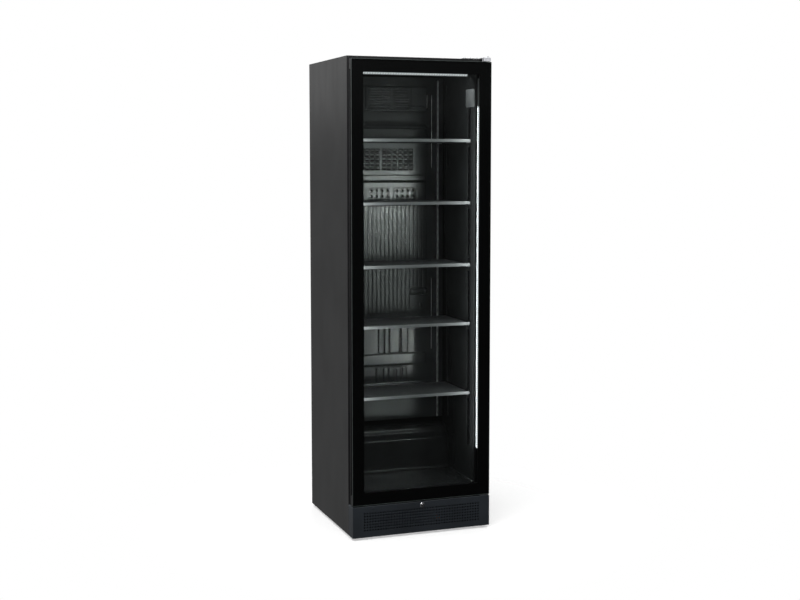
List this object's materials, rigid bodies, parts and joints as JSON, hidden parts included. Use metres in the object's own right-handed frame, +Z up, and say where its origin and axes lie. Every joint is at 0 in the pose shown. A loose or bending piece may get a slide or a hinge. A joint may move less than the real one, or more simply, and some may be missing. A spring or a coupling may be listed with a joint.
{
  "type": "glass door merchandiser",
  "caption": "Upright black display cooler with one frameless glass door, perforated shelves, strip lights, a perforated base grille with a key lock and a rear cooling unit.",
  "frame": {"origin": "centre of the footprint, on the floor", "axes": "+Z up, the door faces -Y and hangs on the +X side"},
  "size_m": [0.595, 0.5924, 1.9382],
  "materials": {
    "side_steel": "satin",
    "rear_steel": "satin",
    "grille_steel": "satin",
    "foam": "matte",
    "liner_plastic": "gloss",
    "collar_plastic": "satin",
    "zinc_steel": "satin",
    "hinge_black": "satin",
    "bright_bolt": "polished",
    "lock_chrome": "polished",
    "shelf_steel": "satin",
    "rail_steel": "satin",
    "light_housing": "satin",
    "light_lens": "gloss",
    "door_glass": "gloss",
    "spacer_black": "matte",
    "door_frame_plastic": "satin",
    "gasket_rubber": "matte",
    "bush_nylon": "satin",
    "coil_aluminium": "satin",
    "motor_dark": "satin",
    "fan_plastic": "satin",
    "compressor_black": "gloss",
    "grommet_rubber": "matte",
    "tray_plastic": "satin",
    "copper_pipe": "satin",
    "roller_nylon": "satin",
    "foot_plastic": "satin"
  },
  "bodies": {
    "cabinet": {"left_side_panel": "side_steel", "right_side_panel": "side_steel", "top_panel": "side_steel", "back_panel": "rear_steel", "rear_grille": "rear_steel", "base_grille": "grille_steel", "insulation_foam": "foam", "inner_liner": "liner_plastic", "duct_panel": "liner_plastic", "fan_cover": "liner_plastic", "front_collar": "collar_plastic", "shelf_standards": "zinc_steel", "shelf_clips": "zinc_steel", "casing_screws": "zinc_steel", "bottom_hinge": "zinc_steel", "base_frame": "zinc_steel", "front_rail": "zinc_steel", "top_hinge_plate": "hinge_black", "top_hinge_bolts": "bright_bolt", "lock_barrel": "lock_chrome", "top_light_housing": "light_housing", "top_light_lens": "light_lens", "evaporator_coil": "coil_aluminium", "condenser_coil": "coil_aluminium", "evaporator_motor": "motor_dark", "condenser_motor": "motor_dark", "fan_shroud": "fan_plastic", "compressor": "compressor_black", "compressor_grommets": "grommet_rubber", "cord_gland": "grommet_rubber", "drip_tray": "tray_plastic", "drain_tube": "tray_plastic", "control_box": "tray_plastic", "refrigerant_pipes": "copper_pipe"},
    "door": {"outer_glass": "door_glass", "inner_glass": "door_glass", "glass_spacer": "spacer_black", "door_frame": "door_frame_plastic", "door_gasket": "gasket_rubber", "door_light_housing": "light_housing", "door_light_lens": "light_lens", "hinge_bushes": "bush_nylon"},
    "lock": {"lock_plug": "lock_chrome", "lock_cam": "lock_chrome"},
    "evaporator_fan": {"evaporator_fan": "fan_plastic"},
    "condenser_fan": {"condenser_fan": "fan_plastic"},
    "left_roller": {"left_roller": "roller_nylon"},
    "right_roller": {"right_roller": "roller_nylon"},
    "left_foot": {"left_foot": "foot_plastic"},
    "right_foot": {"right_foot": "foot_plastic"},
    "shelf_1": {"shelf_1_deck": "shelf_steel", "shelf_1_rail": "rail_steel"},
    "shelf_2": {"shelf_2_deck": "shelf_steel", "shelf_2_rail": "rail_steel"},
    "shelf_3": {"shelf_3_deck": "shelf_steel", "shelf_3_rail": "rail_steel"},
    "shelf_4": {"shelf_4_deck": "shelf_steel", "shelf_4_rail": "rail_steel"},
    "shelf_5": {"shelf_5_deck": "shelf_steel", "shelf_5_rail": "rail_steel"}
  },
  "joints": [
    {"name": "door_swing", "type": "hinge", "parent": "cabinet", "child": "door", "pos_m": [0.283, -0.281, 1], "axis": [0, 0, 1], "range_deg": [0, 105], "stiffness_Nm_per_rad": 1.2, "springref_deg": -20.05},
    {"name": "lock_turn", "type": "hinge", "parent": "cabinet", "child": "lock", "pos_m": [0, -0.2765, 0.121], "axis": [0, 1, 0], "range_deg": [0, 90]},
    {"name": "shelf_1_lift", "type": "slide", "parent": "cabinet", "child": "shelf_1", "axis": [0, 0, 1], "range_m": [0, 0.04]},
    {"name": "shelf_2_lift", "type": "slide", "parent": "cabinet", "child": "shelf_2", "axis": [0, 0, 1], "range_m": [0, 0.04]},
    {"name": "shelf_3_lift", "type": "slide", "parent": "cabinet", "child": "shelf_3", "axis": [0, 0, 1], "range_m": [0, 0.04]},
    {"name": "shelf_4_lift", "type": "slide", "parent": "cabinet", "child": "shelf_4", "axis": [0, 0, 1], "range_m": [0, 0.04]},
    {"name": "shelf_5_lift", "type": "slide", "parent": "cabinet", "child": "shelf_5", "axis": [0, 0, 1], "range_m": [0, 0.04]},
    {"name": "evaporator_fan_spin", "type": "hinge", "parent": "cabinet", "child": "evaporator_fan", "pos_m": [0, 0.092, 1.779], "axis": [0, 1, 0], "continuous": true},
    {"name": "condenser_fan_spin", "type": "hinge", "parent": "cabinet", "child": "condenser_fan", "pos_m": [-0.065, -0.166, 0.075], "axis": [0, 1, 0], "continuous": true},
    {"name": "left_roller_spin", "type": "hinge", "parent": "cabinet", "child": "left_roller", "pos_m": [-0.25, 0.255, 0.02], "axis": [1, 0, 0], "continuous": true},
    {"name": "right_roller_spin", "type": "hinge", "parent": "cabinet", "child": "right_roller", "pos_m": [0.25, 0.255, 0.02], "axis": [1, 0, 0], "continuous": true},
    {"name": "left_foot_screw", "type": "slide", "parent": "cabinet", "child": "left_foot", "axis": [0, 0, -1], "range_m": [0, 0.012]},
    {"name": "right_foot_screw", "type": "slide", "parent": "cabinet", "child": "right_foot", "axis": [0, 0, -1], "range_m": [0, 0.012]}
  ]
}
